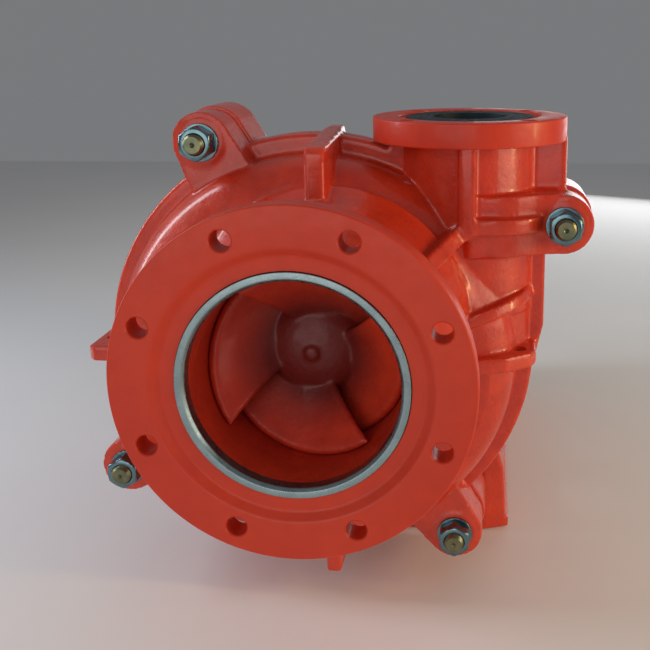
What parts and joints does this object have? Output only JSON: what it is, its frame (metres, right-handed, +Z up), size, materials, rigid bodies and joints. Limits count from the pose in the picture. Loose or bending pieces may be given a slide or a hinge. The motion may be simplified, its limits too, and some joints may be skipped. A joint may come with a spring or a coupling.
{
  "type": "horizontal slurry pump",
  "caption": "Bare-shaft horizontal slurry pump with a split bolted casing, a front suction flange, a top discharge and a bearing assembly on a cast base.",
  "frame": {"origin": "on the floor, in the middle of the base's front foot bar, straight below the shaft's centre line", "axes": "+Z is up, towards the discharge; -Y is the way the suction flange faces; +Y runs along the shaft to its drive end; +X is to the right when one looks at the suction flange"},
  "size_m": [0.6141, 1.131, 0.6094],
  "materials": {
    "red_enamel": "glossy orange-red enamel over rough castings",
    "white_iron": "unpainted hard casting",
    "rubber": "matt moulded rubber",
    "bronze": "machined bronze",
    "packing": "greased square braid",
    "steel": "turned and ground",
    "zinc": "bright zinc plate",
    "yellow_plate": "yellow passivated zinc plate"
  },
  "bodies": {
    "frame": {"base": "red_enamel", "cover_plate": "red_enamel", "frame_plate": "red_enamel", "throat_bush": "red_enamel", "stuffing_box": "red_enamel", "volute_liner": "white_iron", "frame_plate_insert": "white_iron", "discharge_joint_ring": "rubber", "lantern_ring": "bronze", "packing_ring_1": "packing", "packing_ring_2": "packing", "packing_ring_3": "packing", "gland_stud_left": "zinc", "gland_stud_right": "zinc", "adjusting_nut_inner": "zinc", "adjusting_nut_outer": "zinc", "frame_bolt_1": "zinc", "frame_bolt_2": "zinc", "frame_bolt_3": "zinc", "frame_bolt_4": "zinc", "clamp_bolt_1": "zinc", "clamp_bolt_2": "zinc", "clamp_bolt_3": "zinc", "clamp_bolt_4": "zinc", "clamp_washer_1": "zinc", "clamp_washer_2": "zinc", "clamp_washer_3": "zinc", "clamp_washer_4": "zinc", "casing_bolt_upper_left": "yellow_plate", "casing_bolt_lower_left": "yellow_plate", "casing_bolt_lower_right": "yellow_plate", "casing_bolt_upper_right": "yellow_plate", "casing_nut_upper_left": "zinc", "casing_nut_lower_left": "zinc", "casing_nut_lower_right": "zinc", "casing_nut_upper_right": "zinc", "casing_washer_upper_left": "zinc", "casing_washer_lower_left": "zinc", "casing_washer_lower_right": "zinc", "casing_washer_upper_right": "zinc"},
    "bearing_assembly": {"bearing_housing": "red_enamel", "front_end_cover": "red_enamel", "rear_end_cover": "red_enamel", "front_seal": "rubber", "rear_seal": "rubber", "front_outer_race": "steel", "rear_outer_race": "steel", "adjusting_screw": "steel"},
    "rotor": {"shaft": "steel", "shaft_key": "steel", "shaft_sleeve": "steel", "impeller": "red_enamel", "flinger": "rubber", "front_bearing_cone": "steel", "rear_bearing_cone": "steel"},
    "gland": {"gland_half_left": "bronze", "gland_half_right": "bronze", "gland_nut_left": "zinc", "gland_nut_right": "zinc"}
  },
  "joints": [
    {"name": "bearing_adjust", "type": "slide", "parent": "frame", "child": "bearing_assembly", "axis": [0, 1, 0], "range_m": [-0.0025, 0.0025]},
    {"name": "shaft_spin", "type": "hinge", "parent": "bearing_assembly", "child": "rotor", "pos_m": [0, 0, 0.38], "axis": [0, 1, 0], "continuous": true},
    {"name": "gland_slide", "type": "slide", "parent": "frame", "child": "gland", "axis": [0, 1, 0], "range_m": [0, 0.025]}
  ]
}
